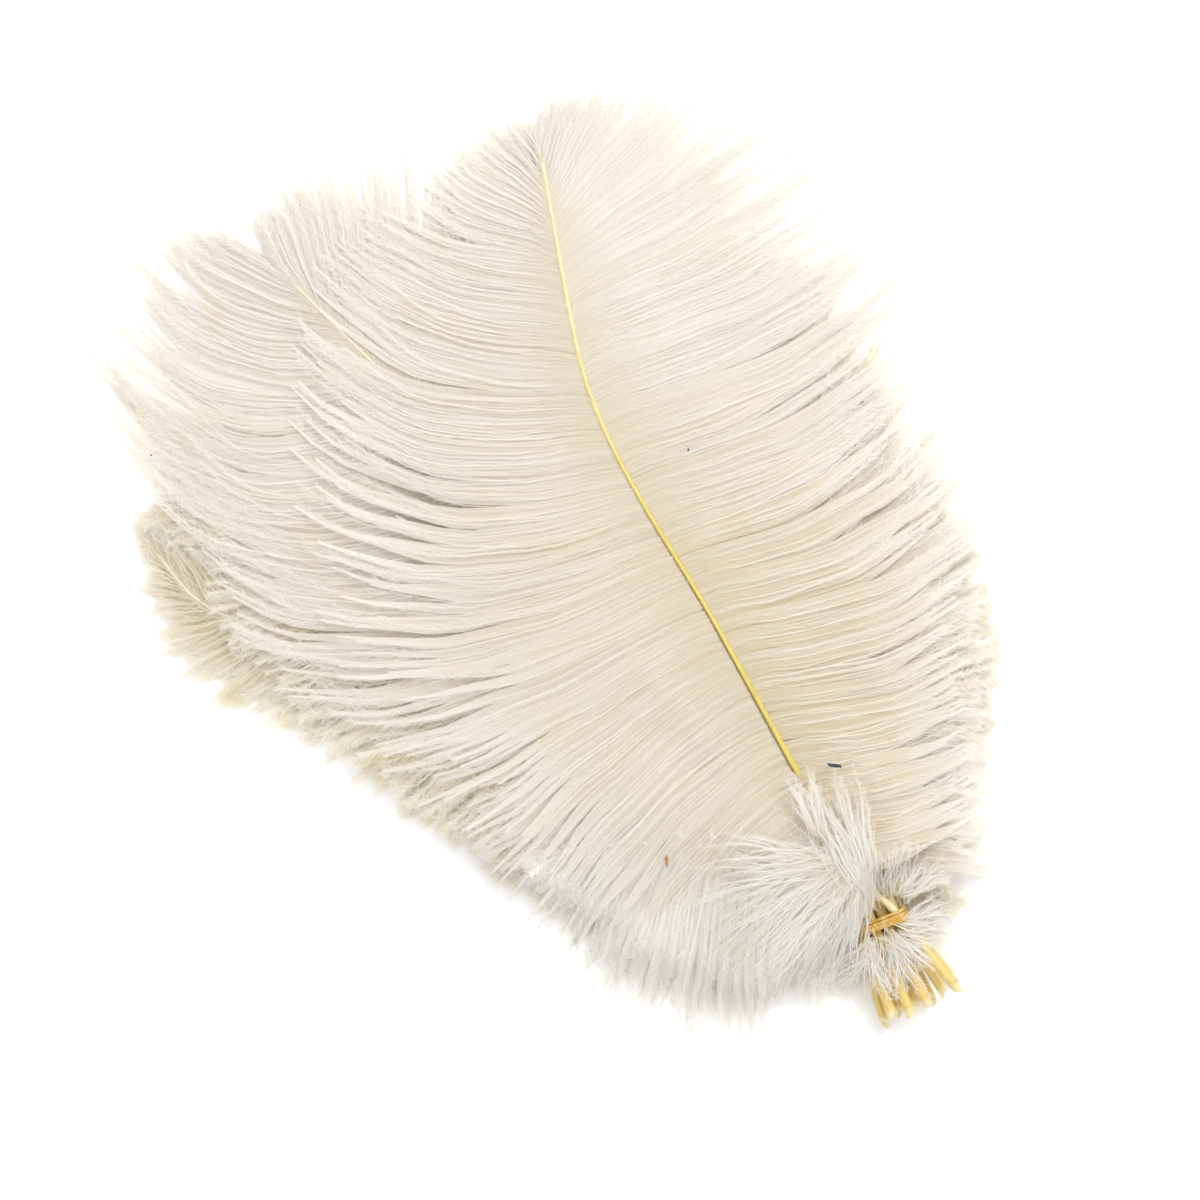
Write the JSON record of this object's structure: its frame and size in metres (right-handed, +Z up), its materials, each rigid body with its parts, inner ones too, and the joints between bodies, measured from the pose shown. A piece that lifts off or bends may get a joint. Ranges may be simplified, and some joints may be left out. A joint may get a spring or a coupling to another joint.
{
  "type": "tied bunch of white ostrich feathers",
  "caption": "Flat-lying fan of soft white ostrich plumes with drooping barbs and yellow quills, tied with thread near the cut ends.",
  "frame": {"origin": "on the surface the bunch lies on, under the middle of its bounding box", "axes": "+Z up from the surface, +Y from the cut quills towards the plume tips along the top plume, +X to the right seen from above with the tips away"},
  "size_m": [0.2928, 0.3668, 0.0299],
  "materials": {
    "plume": "soft creamy white down and barbs on a straw yellow horny shaft",
    "thread": "ochre twisted thread, matte"
  },
  "bodies": {
    "root": {"plume_centre": "plume", "plume_low_right": "plume", "plume_lower_left": "plume", "plume_upper_right": "plume", "plume_far_left": "plume", "plume_right": "plume", "plume_left": "plume", "plume_upper_left": "plume", "plume_top": "plume", "plume_short": "plume", "thread_tie": "thread"}
  },
  "joints": []
}
